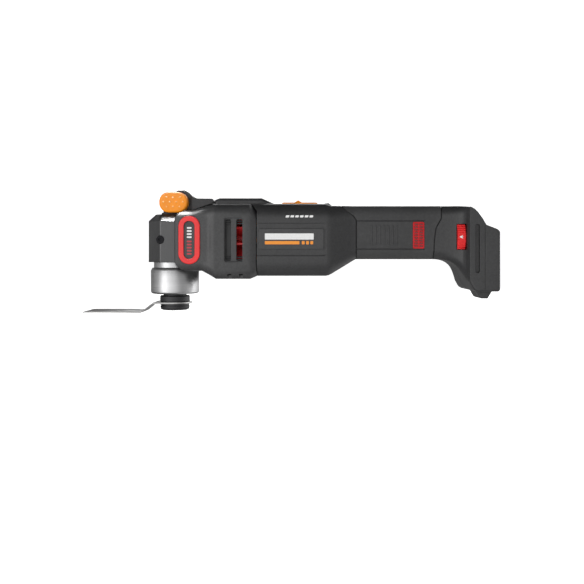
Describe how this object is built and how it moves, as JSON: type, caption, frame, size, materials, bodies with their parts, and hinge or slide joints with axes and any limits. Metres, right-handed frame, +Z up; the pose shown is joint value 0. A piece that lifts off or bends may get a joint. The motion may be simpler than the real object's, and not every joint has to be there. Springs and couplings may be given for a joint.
{
  "type": "oscillating multi-tool",
  "caption": "Cordless oscillating multi-tool with a right-angle gear head, cam clamp lever, cranked saw blade, slide switch and an open battery foot.",
  "frame": {"origin": "on the spindle axis, on the spindle flange's underside, where the blade seats", "axes": "+X along the body towards the battery foot, +Z up along the spindle, Y = 0 the plane of symmetry; the blade points to -X"},
  "size_m": [0.3546, 0.064, 0.1059],
  "materials": {
    "cast_case": "satin",
    "collar_alloy": "turned satin",
    "screw_black": "satin",
    "lens_clear": "clear",
    "lamp_white": "gloss",
    "seal_rubber": "matte",
    "bearing_steel": "ground",
    "tool_steel": "machined",
    "black_steel": "satin",
    "blade_steel": "ground",
    "lever_black": "satin",
    "orange_plastic": "satin",
    "bracket_alloy": "cast",
    "red_plastic": "satin",
    "red_rubber": "matte",
    "core_steel": "laminated",
    "copper_wire": "enamelled",
    "cover_grey": "fine texture",
    "body_grey": "fine texture",
    "grip_rubber": "matte",
    "panel_grey": "satin",
    "electro_black": "matte",
    "board_green": "coated",
    "contact_brass": "polished"
  },
  "bodies": {
    "housing": {"gear_head_case": "cast_case", "head_collar": "collar_alloy", "head_screws": "screw_black", "housing_screws": "screw_black", "led_lens": "lens_clear", "led_board": "lamp_white", "lip_seal": "seal_rubber", "lower_spindle_bearing": "bearing_steel", "upper_spindle_bearing": "bearing_steel", "front_motor_bearing": "bearing_steel", "rear_motor_bearing": "bearing_steel", "lever_pin": "tool_steel", "hub_base": "lever_black", "grip_wing_left": "orange_plastic", "grip_wing_right": "orange_plastic", "front_motor_bracket": "bracket_alloy", "rear_motor_bracket": "bracket_alloy", "ring_badge_left": "red_plastic", "ring_badge_right": "red_plastic", "grip_badge_left": "red_rubber", "grip_badge_right": "red_rubber", "motor_stator": "core_steel", "stator_windings": "copper_wire", "front_cover_left": "cover_grey", "front_cover_right": "cover_grey", "main_housing_left": "body_grey", "main_housing_right": "body_grey", "rear_housing_left": "body_grey", "rear_housing_right": "body_grey", "foot_stop": "body_grey", "grip_shell_left": "grip_rubber", "grip_shell_right": "grip_rubber", "side_panel_left": "panel_grey", "side_panel_right": "panel_grey", "badge_insert_left": "panel_grey", "badge_insert_right": "panel_grey", "microswitch": "electro_black", "dial_potentiometer": "electro_black", "terminal_block": "electro_black", "control_board": "board_green", "terminal_blades": "contact_brass"},
    "spindle": {"output_spindle": "tool_steel", "spindle_flange": "black_steel", "oscillating_fork": "tool_steel", "clamp_spring": "tool_steel"},
    "clamp": {"clamp_bolt": "black_steel", "blade": "blade_steel"},
    "release": {"release_rod": "tool_steel", "clamp_jaws": "tool_steel"},
    "lever": {"lever_body": "lever_black"},
    "rotor": {"motor_shaft": "tool_steel", "eccentric_sleeve": "tool_steel", "eccentric_bearing": "bearing_steel", "counterweight": "tool_steel", "cooling_fan": "red_plastic", "motor_rotor": "core_steel"},
    "slider": {"slide_switch": "orange_plastic", "switch_link": "electro_black"},
    "dial": {"speed_dial": "red_plastic"}
  },
  "joints": [
    {"name": "spindle_oscillation", "type": "hinge", "parent": "housing", "child": "spindle", "pos_m": [0, 0, 0], "axis": [0, 0, 1], "range_deg": [-2.5, 2.5]},
    {"name": "clamp_slide", "type": "slide", "parent": "spindle", "child": "clamp", "axis": [0, 0, -1], "range_m": [0, 0.048]},
    {"name": "clamp_lever", "type": "hinge", "parent": "housing", "child": "lever", "pos_m": [0, 0, 0.0861], "axis": [0, -1, 0], "range_deg": [0, 115]},
    {"name": "release_slide", "type": "slide", "parent": "spindle", "child": "release", "axis": [0, 0, -1], "range_m": [0, 0.0025], "deforming": ["clamp_spring"]},
    {"name": "motor_spin", "type": "hinge", "parent": "housing", "child": "rotor", "pos_m": [0, 0, 0.054], "axis": [1, 0, 0], "continuous": true},
    {"name": "slide_switch", "type": "slide", "parent": "housing", "child": "slider", "axis": [-1, 0, 0], "range_m": [0, 0.006]},
    {"name": "speed_dial", "type": "hinge", "parent": "housing", "child": "dial", "pos_m": [0.2468, -0.0092, 0.0564], "axis": [1, 0, 0], "range_deg": [0, 270]}
  ],
  "couplings": [
    {"joint": "clamp_lever", "follows": "release_slide", "rad_per_m": 802.8}
  ]
}
